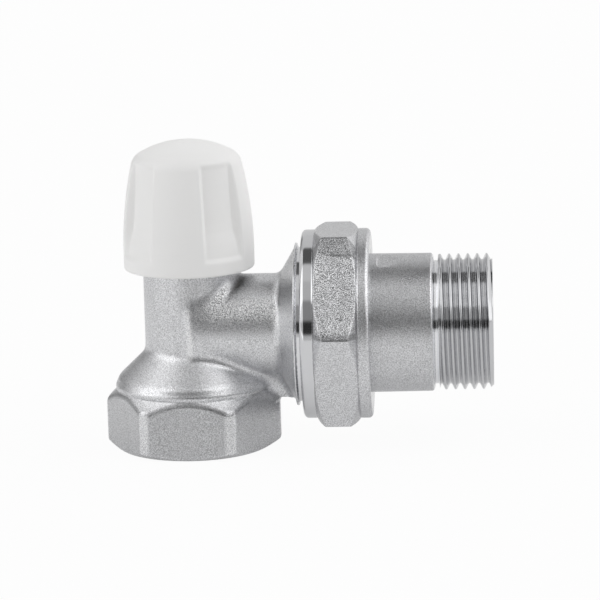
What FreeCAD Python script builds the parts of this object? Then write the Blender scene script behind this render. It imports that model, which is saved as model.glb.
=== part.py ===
import FreeCAD, Part
import math
import os

import Sketcher
from FreeCAD import Placement, Rotation, Vector

# Angle radiator valve of the lockshield kind, for a three-quarter inch pipe thread.
# The frame stands on the inlet: origin at the centre of the boss's lower face, +Z up the
# spindle, +X along the branch, the union and the tail piece. All sizes are in millimetres.

doc = FreeCAD.newDocument("angle_radiator_valve")
sheet = doc.addObject("Spreadsheet::Sheet", "sizes")

# Driving dimensions: each one is a plain number in its own named cell of the sheet
driving = {
    # Clearances: turning and sliding fits, faces that only just meet, free ends of a travel
    "running_clearance": 0.05,
    "face_clearance": 0.05,
    "seal_clearance": 0.02,
    "end_clearance": 0.2,
    "cutter_margin": 2.0,

    # Inlet boss: a hexagon whose corners are turned off, with the pipe thread inside
    "boss_across_flats": 30.6,
    "boss_corner_radius": 17.0,
    "boss_height": 11.6,
    "boss_base_radius": 14.4,
    "boss_base_chamfer": 1.2,
    "boss_top_chamfer": 2.1,
    "inlet_thread_radius": 12.06,
    "inlet_thread_depth": 10.6,
    "inlet_mouth_chamfer": 0.5,

    # Bead, conical shoulder and neck, all turned about the spindle's axis
    "bead_radius": 15.1,
    "bead_height": 1.5,
    "bead_groove": 0.45,
    "shoulder_radius": 14.9,
    "shoulder_height": 5.7,
    "neck_radius": 9.05,
    "neck_rise": 15.8,
    "neck_fillet": 0.9,

    # Branch: a cylinder across the neck that opens into a flange, a lip and the union thread
    "axis_height": 23.7,
    "branch_radius": 10.0,
    "branch_wall": 2.3,
    "branch_back": 0.3,
    "branch_end_round": 1.2,
    "branch_length": 16.9,
    "flange_length": 3.8,
    "lip_radius": 16.1,
    "lip_thickness": 0.5,
    "flange_fillet": 1.4,
    "saddle_fillet": 1.0,
    "union_groove_radius": 15.0,
    "union_groove_length": 0.9,
    "union_thread_radius": 16.55,
    "union_thread_length": 7.1,
    "union_thread_chamfer": 1.0,

    # Web: the rib of metal left under the branch between boss and flange
    "web_drop": 4.1,
    "web_top_half_width": 3.8,
    "web_foot_half_width": 2.0,
    "web_reach": 2.4,

    # Waterway: seat above the inlet, valve chamber in the neck, socket for the tail piece
    "seat_bore_radius": 5.9,
    "seat_height": 16.0,
    "seat_lip_width": 0.6,
    "seat_lip_height": 0.6,
    "chamber_radius": 6.9,
    "inlet_cone_slope": 0.3,
    "socket_cone_slope": 0.8,
    "tail_socket_radius": 13.0,
    "tail_socket_depth": 6.6,
    "tail_socket_chamfer": 0.5,

    # Headwork: a bush screwed into the neck, with a key hexagon and the cap's thread above
    "headwork_thread_radius": 7.45,
    "headwork_thread_length": 7.0,
    "headwork_across_flats": 15.0,
    "headwork_hexagon_height": 5.0,
    "headwork_waist": 0.8,
    "headwork_rise": 16.0,
    "headwork_top_chamfer": 0.6,
    "headwork_seal_section": 0.5,
    "cap_thread_radius": 7.5,
    "stem_bore_radius": 4.55,
    "stem_bore_length": 10.5,
    "spindle_thread_radius": 5.55,
    "circlip_section": 0.4,
    "circlip_setback": 1.2,
    "clip_angle": 325,

    # Spindle: screw with a hexagon socket, two seals on its stem and a tip for the disc
    "spindle_travel": 4.5,
    "spindle_tip_radius": 3.5,
    "spindle_socket_across_flats": 6.0,
    "spindle_socket_depth": 6.0,
    "spindle_top_chamfer": 0.4,
    "stem_seal_section": 0.7,
    "stem_seal_offset": 1.5,
    "stem_seal_spacing": 2.8,
    "disc_hub_height": 4.1,
    "disc_clip_section": 0.4,
    "disc_clip_rise": 1.6,

    # Disc: holder, rubber washer and nut, lifted by the spindle without turning
    "washer_thickness": 1.8,
    "washer_hole_radius": 2.1,
    "disc_clearance": 0.3,
    "disc_rim_height": 3.6,
    "disc_stud_radius": 2.0,
    "disc_stud_length": 2.6,
    "disc_hub_wall": 1.7,
    "washer_nut_across_flats": 7.0,
    "washer_nut_height": 2.0,
    "disc_socket_floor_gap": 0.3,

    # Protective cap: domed shell with four grip flutes and a threaded sleeve inside
    "cap_radius": 12.69,
    "cap_overlap": 4.0,
    "cap_height": 24.9,
    "cap_straight": 4.5,
    "cap_side_radius": 78.0,
    "cap_shoulder_radius": 10.72,
    "cap_shoulder_drop": 4.7,
    "cap_corner_radius": 3.7,
    "cap_crown_radius": 8.8,
    "cap_dome_radius": 17.0,
    "cap_wall": 1.7,
    "cap_sleeve_wall": 1.5,
    "cap_sleeve_rise": 10.5,
    "cap_thread_clearance": 0.1,
    "cap_gasket_thickness": 1.4,
    "cap_gasket_width": 2.4,
    "flute_count": 4,
    "flute_angle": 37.6,
    "flute_foot": 3.3,
    "flute_foot_height": 5.2,
    "flute_top_depth": 0.75,
    "flute_depth": 1.75,
    "flute_wall": 1.2,
    "flute_back_overlap": 9.0,
    "flute_back_clearance": 1.0,
    "relief_radius": 9.8,
    "relief_roof": 4.1,
    "relief_gap_angle": 4.0,
    "cap_turn": 39.5,

    # Union nut: hexagon between two collars, with an inner flange that pulls the tail piece
    "nut_across_flats": 37.0,
    "nut_hexagon_length": 8.15,
    "nut_gap": 1.2,
    "nut_front_collar": 2.7,
    "nut_front_radius": 18.35,
    "nut_front_round": 0.9,
    "nut_back_collar": 2.45,
    "nut_back_radius": 18.46,
    "nut_back_round": 0.8,
    "nut_thread_clearance": 0.07,
    "nut_flange": 2.7,
    "nut_hole_clearance": 0.1,
    "nut_mouth_chamfer": 0.8,
    "nut_turn": 27.4,

    # Tail piece: nose and seal in the body's socket, collar, tube and radiator thread
    "tail_tube_radius": 13.5,
    "tail_tube_end_radius": 13.4,
    "tail_bore_radius": 9.9,
    "tail_nose_clearance": 0.15,
    "tail_nose_length": 6.0,
    "tail_nose_chamfer": 0.6,
    "tail_collar_radius": 14.9,
    "tail_collar_thickness": 3.0,
    "tail_seal_section": 0.95,
    "tail_seal_setback": 3.2,
    "tail_reach": 29.55,
    "tail_thread_radius": 13.2205,
    "tail_thread_length": 10.7,
    "tail_thread_chamfer": 0.9,
    "tail_undercut_radius": 12.0,
    "tail_undercut_length": 0.9,
    "tail_shoulder_chamfer": 0.8,
    "tail_lug_height": 1.8,
    "tail_lug_length": 6.0,
    "tail_lug_angle": 26.0,
    "tail_lug_setback": 14.0,
    "tail_lug_overlap": 0.3,
    "tail_lug_count": 2,
    "tail_flat_angle": 14.0,
    "tail_flat_depth": 0.3,
    "tail_flat_width": 5.6,
    "tail_flat_length": 4.8,
    "tail_flat_offset": 1.4,
}

# Sizes that follow from them: a formula in its own named cell
following = {
    # Inlet boss: a hexagon whose corners are turned off, with the pipe thread inside
    "boss_apothem": "boss_across_flats / 2",
    "boss_vertex": "boss_across_flats / sqrt(3)",
    "boss_half_vertex": "boss_vertex / 2",
    "boss_top_chamfer_start": "boss_height - boss_top_chamfer",
    "boss_clear_radius": "boss_vertex + cutter_margin",
    "inlet_mouth_radius": "inlet_thread_radius + inlet_mouth_chamfer",

    # Bead, conical shoulder and neck, all turned about the spindle's axis
    "bead_top": "boss_height + bead_height",
    "bead_root_radius": "bead_radius - bead_groove",
    "bead_round": "(bead_height ^ 2 / 4 + bead_groove ^ 2) / (2 * bead_groove)",
    "shoulder_bottom": "bead_top + bead_groove",
    "shoulder_top": "shoulder_bottom + shoulder_height",
    "shoulder_slope": "atan((shoulder_radius - neck_radius) / shoulder_height)",
    "neck_fillet_reach": "neck_fillet * tan(shoulder_slope / 2)",
    "neck_fillet_radius": "neck_radius + neck_fillet_reach * sin(shoulder_slope)",
    "neck_fillet_bottom": "shoulder_top - neck_fillet_reach * cos(shoulder_slope)",
    "neck_fillet_top": "shoulder_top + neck_fillet_reach",

    # Branch: a cylinder across the neck that opens into a flange, a lip and the union thread
    "branch_bore_radius": "branch_radius - branch_wall",
    "branch_back_shoulder": "branch_radius - branch_end_round",
    "branch_round_end": "branch_end_round - branch_back",
    "flange_slope": "atan((lip_radius - branch_radius) / flange_length)",
    "flange_fillet_reach": "flange_fillet * tan(flange_slope / 2)",
    "flange_fillet_start": "branch_length - flange_fillet_reach",
    "flange_fillet_end": "branch_length + flange_fillet_reach * cos(flange_slope)",
    "flange_fillet_radius": "branch_radius + flange_fillet_reach * sin(flange_slope)",
    "lip_start": "branch_length + flange_length",
    "lip_end": "lip_start + lip_thickness",
    "union_thread_start": "lip_end + union_groove_length",
    "body_end": "union_thread_start + union_thread_length",
    "union_chamfer_radius": "union_thread_radius - union_thread_chamfer",
    "union_chamfer_start": "body_end - union_thread_chamfer",
    "neck_top": "axis_height + neck_rise",

    # Web: the rib of metal left under the branch between boss and flange
    "web_foot": "axis_height - branch_radius - web_drop",
    "web_head": "axis_height - branch_radius + branch_wall / 2",
    "web_end": "branch_length + web_reach",
    "web_start": "boss_apothem - web_drop",
    "web_length": "web_end - web_start",

    # Waterway: seat above the inlet, valve chamber in the neck, socket for the tail piece
    "seat_lip_radius": "seat_bore_radius + seat_lip_width",
    "chamber_floor": "seat_height - seat_lip_height",
    "inlet_roof": "inlet_thread_depth + inlet_cone_slope * (inlet_thread_radius - seat_bore_radius)",
    "socket_start": "body_end - tail_socket_depth",
    "socket_cone_start": "socket_start - socket_cone_slope * (tail_socket_radius - branch_bore_radius)",
    "socket_mouth_radius": "tail_socket_radius + tail_socket_chamfer",
    "socket_mouth_start": "body_end - tail_socket_chamfer",
    "branch_bore_start": "chamber_radius / 2",

    # Headwork: a bush screwed into the neck, with a key hexagon and the cap's thread above
    "headwork_bottom": "neck_top - headwork_thread_length",
    "headwork_shank_radius": "headwork_thread_radius - running_clearance",
    "headwork_hexagon_top": "neck_top + headwork_hexagon_height",
    "headwork_top": "neck_top + headwork_rise",
    "headwork_vertex": "headwork_across_flats / sqrt(3)",
    "headwork_half_vertex": "headwork_vertex / 2",
    "headwork_apothem": "headwork_across_flats / 2",
    "headwork_clear_radius": "headwork_vertex + cutter_margin",
    "headwork_corner_drop": "(headwork_vertex - headwork_apothem) / sqrt(3)",
    "headwork_corner_start": "headwork_hexagon_top - headwork_corner_drop",
    "headwork_waist_radius": "cap_thread_radius - headwork_waist",
    "headwork_waist_top": "headwork_hexagon_top + headwork_waist",
    "headwork_top_radius": "cap_thread_radius - headwork_top_chamfer",
    "headwork_top_start": "headwork_top - headwork_top_chamfer",
    "stem_bore_top": "headwork_bottom + stem_bore_length",
    "seal_recess_depth": "2 * headwork_seal_section + 2 * seal_clearance",
    "seal_recess_floor": "neck_top - seal_recess_depth",
    "seal_recess_radius": "headwork_shank_radius + seal_recess_depth",
    "headwork_seal_radius": "headwork_shank_radius + seal_clearance + headwork_seal_section",
    "headwork_seal_height": "neck_top - seal_clearance - headwork_seal_section",
    "circlip_height": "headwork_top - circlip_setback",
    "circlip_slot": "circlip_section + seal_clearance",
    "circlip_slot_bottom": "circlip_height - circlip_slot",
    "circlip_slot_top": "circlip_height + circlip_slot",
    "circlip_slot_radius": "spindle_thread_radius + circlip_slot",

    # Spindle: screw with a hexagon socket, two seals on its stem and a tip for the disc
    "stem_radius": "stem_bore_radius - running_clearance",
    "spindle_screw_radius": "spindle_thread_radius - running_clearance",
    "spindle_screw_bottom": "stem_bore_top + end_clearance",
    "spindle_top": "circlip_slot_bottom - spindle_travel - end_clearance",
    "spindle_top_radius": "spindle_screw_radius - spindle_top_chamfer",
    "spindle_top_start": "spindle_top - spindle_top_chamfer",
    "stem_seal_radius": "stem_bore_radius - seal_clearance - stem_seal_section",
    "stem_groove_radius": "stem_seal_radius - stem_seal_section - seal_clearance",
    "stem_groove_half": "stem_seal_section + seal_clearance",
    "lower_seal_height": "headwork_bottom + stem_seal_offset",
    "upper_seal_height": "lower_seal_height + stem_seal_spacing",
    "lower_groove_bottom": "lower_seal_height - stem_groove_half",
    "lower_groove_top": "lower_seal_height + stem_groove_half",
    "upper_groove_bottom": "upper_seal_height - stem_groove_half",
    "upper_groove_top": "upper_seal_height + stem_groove_half",
    "spindle_socket_vertex": "spindle_socket_across_flats / sqrt(3)",
    "spindle_socket_half_vertex": "spindle_socket_vertex / 2",
    "spindle_socket_apothem": "spindle_socket_across_flats / 2",

    # Disc: holder, rubber washer and nut, lifted by the spindle without turning
    "disc_radius": "chamber_radius - disc_clearance",
    "washer_bottom": "seat_height + face_clearance",
    "disc_bottom": "washer_bottom + washer_thickness",
    "disc_rim_top": "disc_bottom + disc_rim_height",
    "disc_hub_top": "disc_rim_top + disc_hub_height",
    "disc_socket_radius": "spindle_tip_radius + running_clearance",
    "disc_hub_radius": "disc_socket_radius + disc_hub_wall",
    "disc_socket_floor": "disc_rim_top - disc_rim_height / 2",
    "disc_stud_bottom": "disc_bottom - washer_thickness - disc_stud_length",
    "spindle_tip_bottom": "disc_socket_floor + disc_socket_floor_gap",
    "spindle_tip_top": "disc_hub_top + face_clearance",
    "disc_clip_height": "disc_rim_top + disc_clip_rise",
    "disc_clip_slot": "disc_clip_section + seal_clearance",
    "disc_clip_slot_bottom": "disc_clip_height - disc_clip_slot",
    "disc_clip_slot_top": "disc_clip_height + disc_clip_slot",
    "disc_clip_outer": "spindle_tip_radius + disc_clip_slot",
    "disc_clip_inner": "spindle_tip_radius - disc_clip_slot",
    "washer_nut_vertex": "washer_nut_across_flats / sqrt(3)",
    "washer_nut_bottom": "washer_bottom - washer_nut_height",

    # Protective cap: domed shell with four grip flutes and a threaded sleeve inside
    "cap_rim": "neck_top - cap_overlap",
    "cap_top": "cap_rim + cap_height",
    "cap_side_start": "cap_rim + cap_straight",
    "cap_shoulder_height": "cap_top - cap_shoulder_drop",
    "cap_crown_sagitta": "cap_dome_radius - sqrt(cap_dome_radius ^ 2 - cap_crown_radius ^ 2)",
    "cap_crown_height": "cap_top - cap_crown_sagitta",
    "cap_inner_radius": "cap_radius - cap_wall",
    "cap_sleeve_bottom": "cap_rim + cap_sleeve_rise",
    "cap_sleeve_bore": "cap_thread_radius + cap_thread_clearance",
    "cap_sleeve_radius": "cap_sleeve_bore + cap_sleeve_wall",
    "cap_gasket_bottom": "headwork_top + face_clearance",
    "cap_gasket_inner": "cap_thread_radius - cap_gasket_width",
    "cap_ceiling": "cap_gasket_bottom + cap_gasket_thickness + face_clearance",
    "flute_foot_bottom": "cap_rim + flute_foot",
    "flute_floor_start": "flute_foot_bottom + flute_foot_height",
    "flute_floor_radius": "cap_radius - flute_depth",
    "flute_top_radius": "cap_shoulder_radius - flute_top_depth",
    "flute_cut_radius": "cap_radius + cutter_margin",
    "flute_cut_top": "cap_top + cutter_margin",
    "flute_back_radius": "flute_top_radius - flute_wall",
    "flute_back_bottom": "flute_foot_bottom - flute_wall",
    "flute_back_full": "neck_top + flute_back_clearance",
    "flute_back_angle": "flute_angle + flute_back_overlap",
    "relief_bottom": "cap_sleeve_bottom - cutter_margin",
    "relief_top": "cap_shoulder_height - relief_roof",
    "relief_angle": "360 / flute_count - flute_back_angle - relief_gap_angle",
    "relief_turn": "180 / flute_count",

    # Union nut: hexagon between two collars, with an inner flange that pulls the tail piece
    "nut_start": "lip_start + nut_gap",
    "nut_hexagon_start": "nut_start + nut_front_collar",
    "nut_hexagon_end": "nut_hexagon_start + nut_hexagon_length",
    "nut_end": "nut_hexagon_end + nut_back_collar",
    "nut_apothem": "nut_across_flats / 2",
    "nut_vertex": "nut_across_flats / sqrt(3)",
    "nut_half_vertex": "nut_vertex / 2",
    "nut_clear_radius": "nut_vertex + cutter_margin",
    "nut_corner_drop": "(nut_vertex - nut_apothem) / sqrt(3)",
    "nut_corner_start": "nut_hexagon_start + nut_corner_drop",
    "nut_corner_end": "nut_hexagon_end - nut_corner_drop",
    "nut_bore_radius": "union_thread_radius + nut_thread_clearance",
    "nut_mouth_radius": "nut_bore_radius + nut_mouth_chamfer",
    "nut_mouth_start": "nut_start + nut_mouth_chamfer",
    "nut_flange_start": "nut_end - nut_flange",

    # Tail piece: nose and seal in the body's socket, collar, tube and radiator thread
    "tail_collar_start": "body_end + face_clearance",
    "tail_collar_end": "tail_collar_start + tail_collar_thickness",
    "tail_end": "tail_collar_start + tail_reach",
    "tail_nose_start": "tail_collar_start - tail_nose_length",
    "tail_nose_radius": "tail_socket_radius - tail_nose_clearance",
    "tail_nose_tip_radius": "tail_nose_radius - tail_nose_chamfer",
    "tail_nose_full": "tail_nose_start + tail_nose_chamfer",
    "tail_seal_x": "tail_collar_start - tail_seal_setback",
    "tail_seal_radius": "tail_socket_radius - seal_clearance - tail_seal_section",
    "tail_groove_radius": "tail_seal_radius - tail_seal_section - seal_clearance",
    "tail_groove_half": "tail_seal_section + seal_clearance",
    "tail_groove_start": "tail_seal_x - tail_groove_half",
    "tail_groove_end": "tail_seal_x + tail_groove_half",
    "nut_hole_radius": "tail_tube_radius + nut_hole_clearance",
    "tail_thread_start": "tail_end - tail_thread_length",
    "tail_undercut_start": "tail_thread_start - tail_undercut_length",
    "tail_shoulder_start": "tail_undercut_start - tail_shoulder_chamfer",
    "tail_shoulder_radius": "tail_tube_end_radius - tail_shoulder_chamfer",
    "tail_tip_start": "tail_end - tail_thread_chamfer",
    "tail_tip_radius": "tail_thread_radius - tail_thread_chamfer",
    "tail_mouth_radius": "tail_bore_radius + tail_nose_chamfer",
    "tail_mouth_start": "tail_end - tail_nose_chamfer",
    "tail_lug_radius": "tail_bore_radius - tail_lug_height",
    "tail_lug_root": "tail_bore_radius + tail_lug_overlap",
    "tail_lug_end": "tail_end - tail_lug_setback",
    "tail_lug_start": "tail_lug_end - tail_lug_length",
    "tail_flat_distance": "tail_tube_radius - tail_flat_depth",
    "tail_flat_start": "nut_end + tail_flat_offset",
}

for row, (alias, entry) in enumerate([*driving.items(), *following.items()], 1):
    sheet.set(f"A{row}", alias)
    sheet.set(f"B{row}", f"={entry}" if alias in following else str(entry))
    sheet.setAlias(f"B{row}", alias)
doc.recompute()


def value(alias):
    """The number behind an alias, with a leading minus sign allowed."""
    if alias.startswith("-"):
        return -value(alias[1:])
    return float(sheet.get(alias))


def bound(alias):
    """The expression that ties a property to an alias, with its sign."""
    if alias.startswith("-"):
        return "-sizes." + alias[1:]
    return "sizes." + alias


def new_body(name):
    body = doc.addObject("PartDesign::Body", name)
    body.Label = name
    return body


def origin_part(body, role):
    return next(part for part in body.Origin.OriginFeatures if part.Role == role)


def new_sketch(body, name, plane="XZ_Plane", lift=None, turn=0.0):
    """A sketch on one of the body's origin planes, lifted by an alias or turned about its Y."""
    sketch = body.newObject("Sketcher::SketchObject", name)
    sketch.AttachmentSupport = [(origin_part(body, plane), "")]
    sketch.MapMode = "FlatFace"
    if turn:
        sketch.AttachmentOffset = Placement(Vector(), Rotation(Vector(0, 1, 0), turn))
    if lift:
        direction, alias = lift
        sketch.setExpression(f"AttachmentOffset.Base.{direction}", bound(alias))
    return sketch


def arc_through(start, end, radius):
    """Arc from start to end: a positive radius bulges to the right of the way, a negative to the left."""
    chord = end - start
    half = chord.Length / 2
    middle = (start + end) / 2
    side = Vector(-chord.y, chord.x, 0).normalize()
    centre = middle + side * math.copysign(math.sqrt(radius * radius - half * half), radius)
    first, last = (start, end) if radius > 0 else (end, start)
    angles = [math.atan2(point.y - centre.y, point.x - centre.x) for point in (first, last)]
    circle = Part.Circle(centre, Vector(0, 0, 1), abs(radius))
    return Part.ArcOfCircle(circle, angles[0], angles[1])


def draw(sketch, corners):
    """Closed outline through corners, each (across, along) or (across, along, arc radius to the next).

    Every corner is held by two named distances from the origin that follow the sheet."""
    points = [Vector(*(0.0 if a == "0" else value(a) for a in corner[:2]), 0) for corner in corners]
    ends = []
    for index, corner in enumerate(corners):
        start, end = points[index], points[(index + 1) % len(points)]
        if len(corner) == 3:
            radius = value(corner[2])
            geometry = sketch.addGeometry(arc_through(start, end, radius))
            sketch.addConstraint(Sketcher.Constraint("Radius", geometry, abs(radius)))
            sketch.renameConstraint(sketch.ConstraintCount - 1, f"bend{index}")
            sketch.setExpression(f"Constraints.bend{index}", bound(corner[2].lstrip("-")))
            ends.append((1, 2) if radius > 0 else (2, 1))
        else:
            sketch.addGeometry(Part.LineSegment(start, end))
            ends.append((1, 2))
    for index, corner in enumerate(corners):
        first = ends[index][0]
        sketch.addConstraint(Sketcher.Constraint("Coincident", index - 1 if index else len(corners) - 1,
                                                 ends[index - 1][1], index, first))
        for kind, axis, alias in (("DistanceX", -2, corner[0]), ("DistanceY", -1, corner[1])):
            if alias == "0":
                sketch.addConstraint(Sketcher.Constraint("PointOnObject", index, first, axis))
                continue
            sketch.addConstraint(Sketcher.Constraint(kind, -1, 1, index, first, value(alias)))
            name = f"{'across' if kind == 'DistanceX' else 'along'}{index}"
            sketch.renameConstraint(sketch.ConstraintCount - 1, name)
            sketch.setExpression(f"Constraints.{name}", bound(alias))
    return sketch


def hexagon(sketch, apothem, vertex, half_vertex):
    """Hexagon with two corners on the sketch's X axis."""
    return draw(sketch, [(vertex, "0"), (half_vertex, apothem), ("-" + half_vertex, apothem),
                         ("-" + vertex, "0"), ("-" + half_vertex, "-" + apothem),
                         (half_vertex, "-" + apothem)])


def turn_profile(body, kind, name, corners, angle=None, axis="V_Axis", lift=None, turn=0.0):
    """Revolution or Groove of a closed outline about one of the sketch's axes."""
    sketch = draw(new_sketch(body, name + "_outline", lift=lift, turn=turn), corners)
    feature = body.newObject(f"PartDesign::{kind}", name)
    feature.Profile = sketch
    feature.ReferenceAxis = (sketch, [axis])
    feature.Angle = 360.0
    if angle:
        feature.Midplane = True
        feature.setExpression("Angle", bound(angle))
    doc.recompute()
    return feature


def extrude(body, kind, name, sketch, length):
    feature = body.newObject(f"PartDesign::{kind}", name)
    feature.Profile = sketch
    feature.setExpression("Length", bound(length))
    return feature


def polar(body, name, original, count):
    """Repeats a feature evenly about the body's own Z axis."""
    pattern = body.newObject("PartDesign::PolarPattern", name)
    pattern.Originals = [original]
    pattern.Axis = (origin_part(body, "Z_Axis"), [""])
    pattern.Angle = 360.0
    pattern.setExpression("Occurrences", bound(count))
    body.Tip = pattern
    doc.recompute()
    return pattern


def circle_edges(shape, radius, centre, direction):
    """Names of the circular edges of a radius about a centre, square to a direction."""
    names = []
    for index, edge in enumerate(shape.Edges, 1):
        curve = edge.Curve
        if not isinstance(curve, Part.Circle) or abs(curve.Radius - radius) > 1e-5:
            continue
        if (curve.Center - centre).Length < 1e-5 and curve.Axis.cross(direction).Length < 1e-6:
            names.append(f"Edge{index}")
    return names


def cylinder_seams(shape, *radii):
    """Names of the edges along which two cylinders of the given radii meet."""
    names = []
    for index, edge in enumerate(shape.Edges, 1):
        faces = [face.Surface for face in shape.ancestorsOfType(edge, Part.Face)]
        found = [face.Radius for face in faces if isinstance(face, Part.Cylinder)]
        if len(found) == 2 and all(any(abs(f - r) < 1e-5 for f in found) for r in radii):
            names.append(f"Edge{index}")
    return names


def round_edges(body, name, base, edges, radius):
    feature = body.newObject("PartDesign::Fillet", name)
    feature.Base = (base, edges)
    feature.setExpression("Radius", bound(radius))
    doc.recompute()
    return feature


def lay_along_branch(part, turn=0.0):
    """Turned pieces of the union are drawn about their own Z axis and laid along the branch."""
    laid = Rotation(Vector(0, 1, 0), 90) * Rotation(Vector(0, 0, 1), turn)
    part.Placement = Placement(Vector(0, 0, value("axis_height")), laid)
    part.setExpression("Placement.Base.z", "sizes.axis_height")


# Valve body: one hot-stamped brass forging, bored and threaded
valve_body = new_body("valve_body")
boss_outline = hexagon(new_sketch(valve_body, "boss_outline", "XY_Plane"),
                       "boss_apothem", "boss_vertex", "boss_half_vertex")
extrude(valve_body, "Pad", "boss", boss_outline, "boss_height")
doc.recompute()
turn_profile(valve_body, "Groove", "boss_corners", [
    ("boss_base_radius", "0"), ("boss_corner_radius", "boss_base_chamfer"),
    ("boss_corner_radius", "boss_top_chamfer_start"), ("shoulder_radius", "boss_height"),
    ("boss_clear_radius", "boss_height"), ("boss_clear_radius", "0")])
turn_profile(valve_body, "Revolution", "shoulder_and_neck", [
    ("0", "boss_top_chamfer_start"), ("bead_root_radius", "boss_top_chamfer_start"),
    ("bead_root_radius", "boss_height", "bead_round"),
    ("bead_root_radius", "bead_top"), ("shoulder_radius", "shoulder_bottom"),
    ("neck_fillet_radius", "neck_fillet_bottom", "-neck_fillet"), ("neck_radius", "neck_fillet_top"),
    ("neck_radius", "neck_top"), ("0", "neck_top")])
turn_profile(valve_body, "Revolution", "branch", [
    ("-branch_back", "0"), ("-branch_back", "branch_back_shoulder"),
    ("branch_round_end", "branch_radius"),
    ("flange_fillet_start", "branch_radius", "flange_fillet"),
    ("flange_fillet_end", "flange_fillet_radius"), ("lip_start", "lip_radius"),
    ("lip_end", "lip_radius"), ("lip_end", "union_groove_radius"),
    ("union_thread_start", "union_groove_radius"), ("union_thread_start", "union_thread_radius"),
    ("union_chamfer_start", "union_thread_radius"), ("body_end", "union_chamfer_radius"),
    ("body_end", "0")], axis="H_Axis", lift=("y", "axis_height"))
web_outline = draw(new_sketch(valve_body, "web_outline", "YZ_Plane", lift=("z", "web_start")), [
    ("-web_foot_half_width", "web_foot"), ("web_foot_half_width", "web_foot"),
    ("web_top_half_width", "web_head"), ("-web_top_half_width", "web_head")])
web = extrude(valve_body, "Pad", "web", web_outline, "web_length")
doc.recompute()
saddle = cylinder_seams(web.Shape, value("neck_radius"), value("branch_radius"))
round_edges(valve_body, "saddle_round", web, saddle, "saddle_fillet")
turn_profile(valve_body, "Groove", "waterway_and_neck_bore", [
    ("0", "0"), ("inlet_mouth_radius", "0"), ("inlet_thread_radius", "inlet_mouth_chamfer"),
    ("inlet_thread_radius", "inlet_thread_depth"), ("seat_bore_radius", "inlet_roof"),
    ("seat_bore_radius", "seat_height"), ("seat_lip_radius", "seat_height"),
    ("seat_lip_radius", "chamber_floor"), ("chamber_radius", "chamber_floor"),
    ("chamber_radius", "headwork_bottom"), ("headwork_thread_radius", "headwork_bottom"),
    ("headwork_thread_radius", "seal_recess_floor"), ("seal_recess_radius", "seal_recess_floor"),
    ("seal_recess_radius", "neck_top"), ("0", "neck_top")])
turn_profile(valve_body, "Groove", "branch_bore", [
    ("branch_bore_start", "0"), ("branch_bore_start", "branch_bore_radius"),
    ("socket_cone_start", "branch_bore_radius"), ("socket_start", "tail_socket_radius"),
    ("socket_mouth_start", "tail_socket_radius"), ("body_end", "socket_mouth_radius"),
    ("body_end", "0")], axis="H_Axis", lift=("y", "axis_height"))

# Headwork: bush with shank, hexagon and cap thread, bored for the spindle
headwork_body = new_body("headwork_body")
turn_profile(headwork_body, "Revolution", "headwork_bush", [
    ("stem_bore_radius", "headwork_bottom"), ("headwork_shank_radius", "headwork_bottom"),
    ("headwork_shank_radius", "neck_top"), ("headwork_waist_radius", "neck_top"),
    ("headwork_waist_radius", "headwork_waist_top"), ("cap_thread_radius", "headwork_waist_top"),
    ("cap_thread_radius", "headwork_top_start"), ("headwork_top_radius", "headwork_top"),
    ("spindle_thread_radius", "headwork_top"), ("spindle_thread_radius", "circlip_slot_top"),
    ("circlip_slot_radius", "circlip_slot_top"), ("circlip_slot_radius", "circlip_slot_bottom"),
    ("spindle_thread_radius", "circlip_slot_bottom"), ("spindle_thread_radius", "stem_bore_top"),
    ("stem_bore_radius", "stem_bore_top")])
headwork_hexagon = hexagon(new_sketch(headwork_body, "headwork_hexagon", "XY_Plane", lift=("z", "neck_top")),
                           "headwork_apothem", "headwork_vertex", "headwork_half_vertex")
extrude(headwork_body, "Pad", "headwork_key_hexagon", headwork_hexagon, "headwork_hexagon_height")
doc.recompute()
turn_profile(headwork_body, "Groove", "headwork_corners", [
    ("headwork_apothem", "headwork_hexagon_top"), ("headwork_vertex", "headwork_corner_start"),
    ("headwork_clear_radius", "headwork_corner_start"),
    ("headwork_clear_radius", "headwork_hexagon_top")])
turn_profile(headwork_body, "Groove", "headwork_through_bore", [
    ("0", "headwork_bottom"), ("stem_bore_radius", "headwork_bottom"),
    ("stem_bore_radius", "stem_bore_top"), ("spindle_thread_radius", "stem_bore_top"),
    ("spindle_thread_radius", "headwork_top"), ("0", "headwork_top")])


def seal_ring(name, radius, section, height, along_branch=False):
    """Round-section ring; height is its place along the spindle's or the branch's axis."""
    ring = doc.addObject("Part::Torus", name)
    ring.Label = name
    ring.setExpression("Radius1", bound(radius))
    ring.setExpression("Radius2", bound(section))
    if along_branch:
        lay_along_branch(ring)
        ring.setExpression("Placement.Base.x", bound(height))
    else:
        ring.setExpression("Placement.Base.z", bound(height))
    return ring


headwork_o_ring = seal_ring("headwork_o_ring", "headwork_seal_radius", "headwork_seal_section",
                            "headwork_seal_height")
spindle_circlip = seal_ring("spindle_circlip", "spindle_thread_radius", "circlip_section",
                            "circlip_height")
spindle_circlip.setExpression("Angle3", "sizes.clip_angle")

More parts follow.
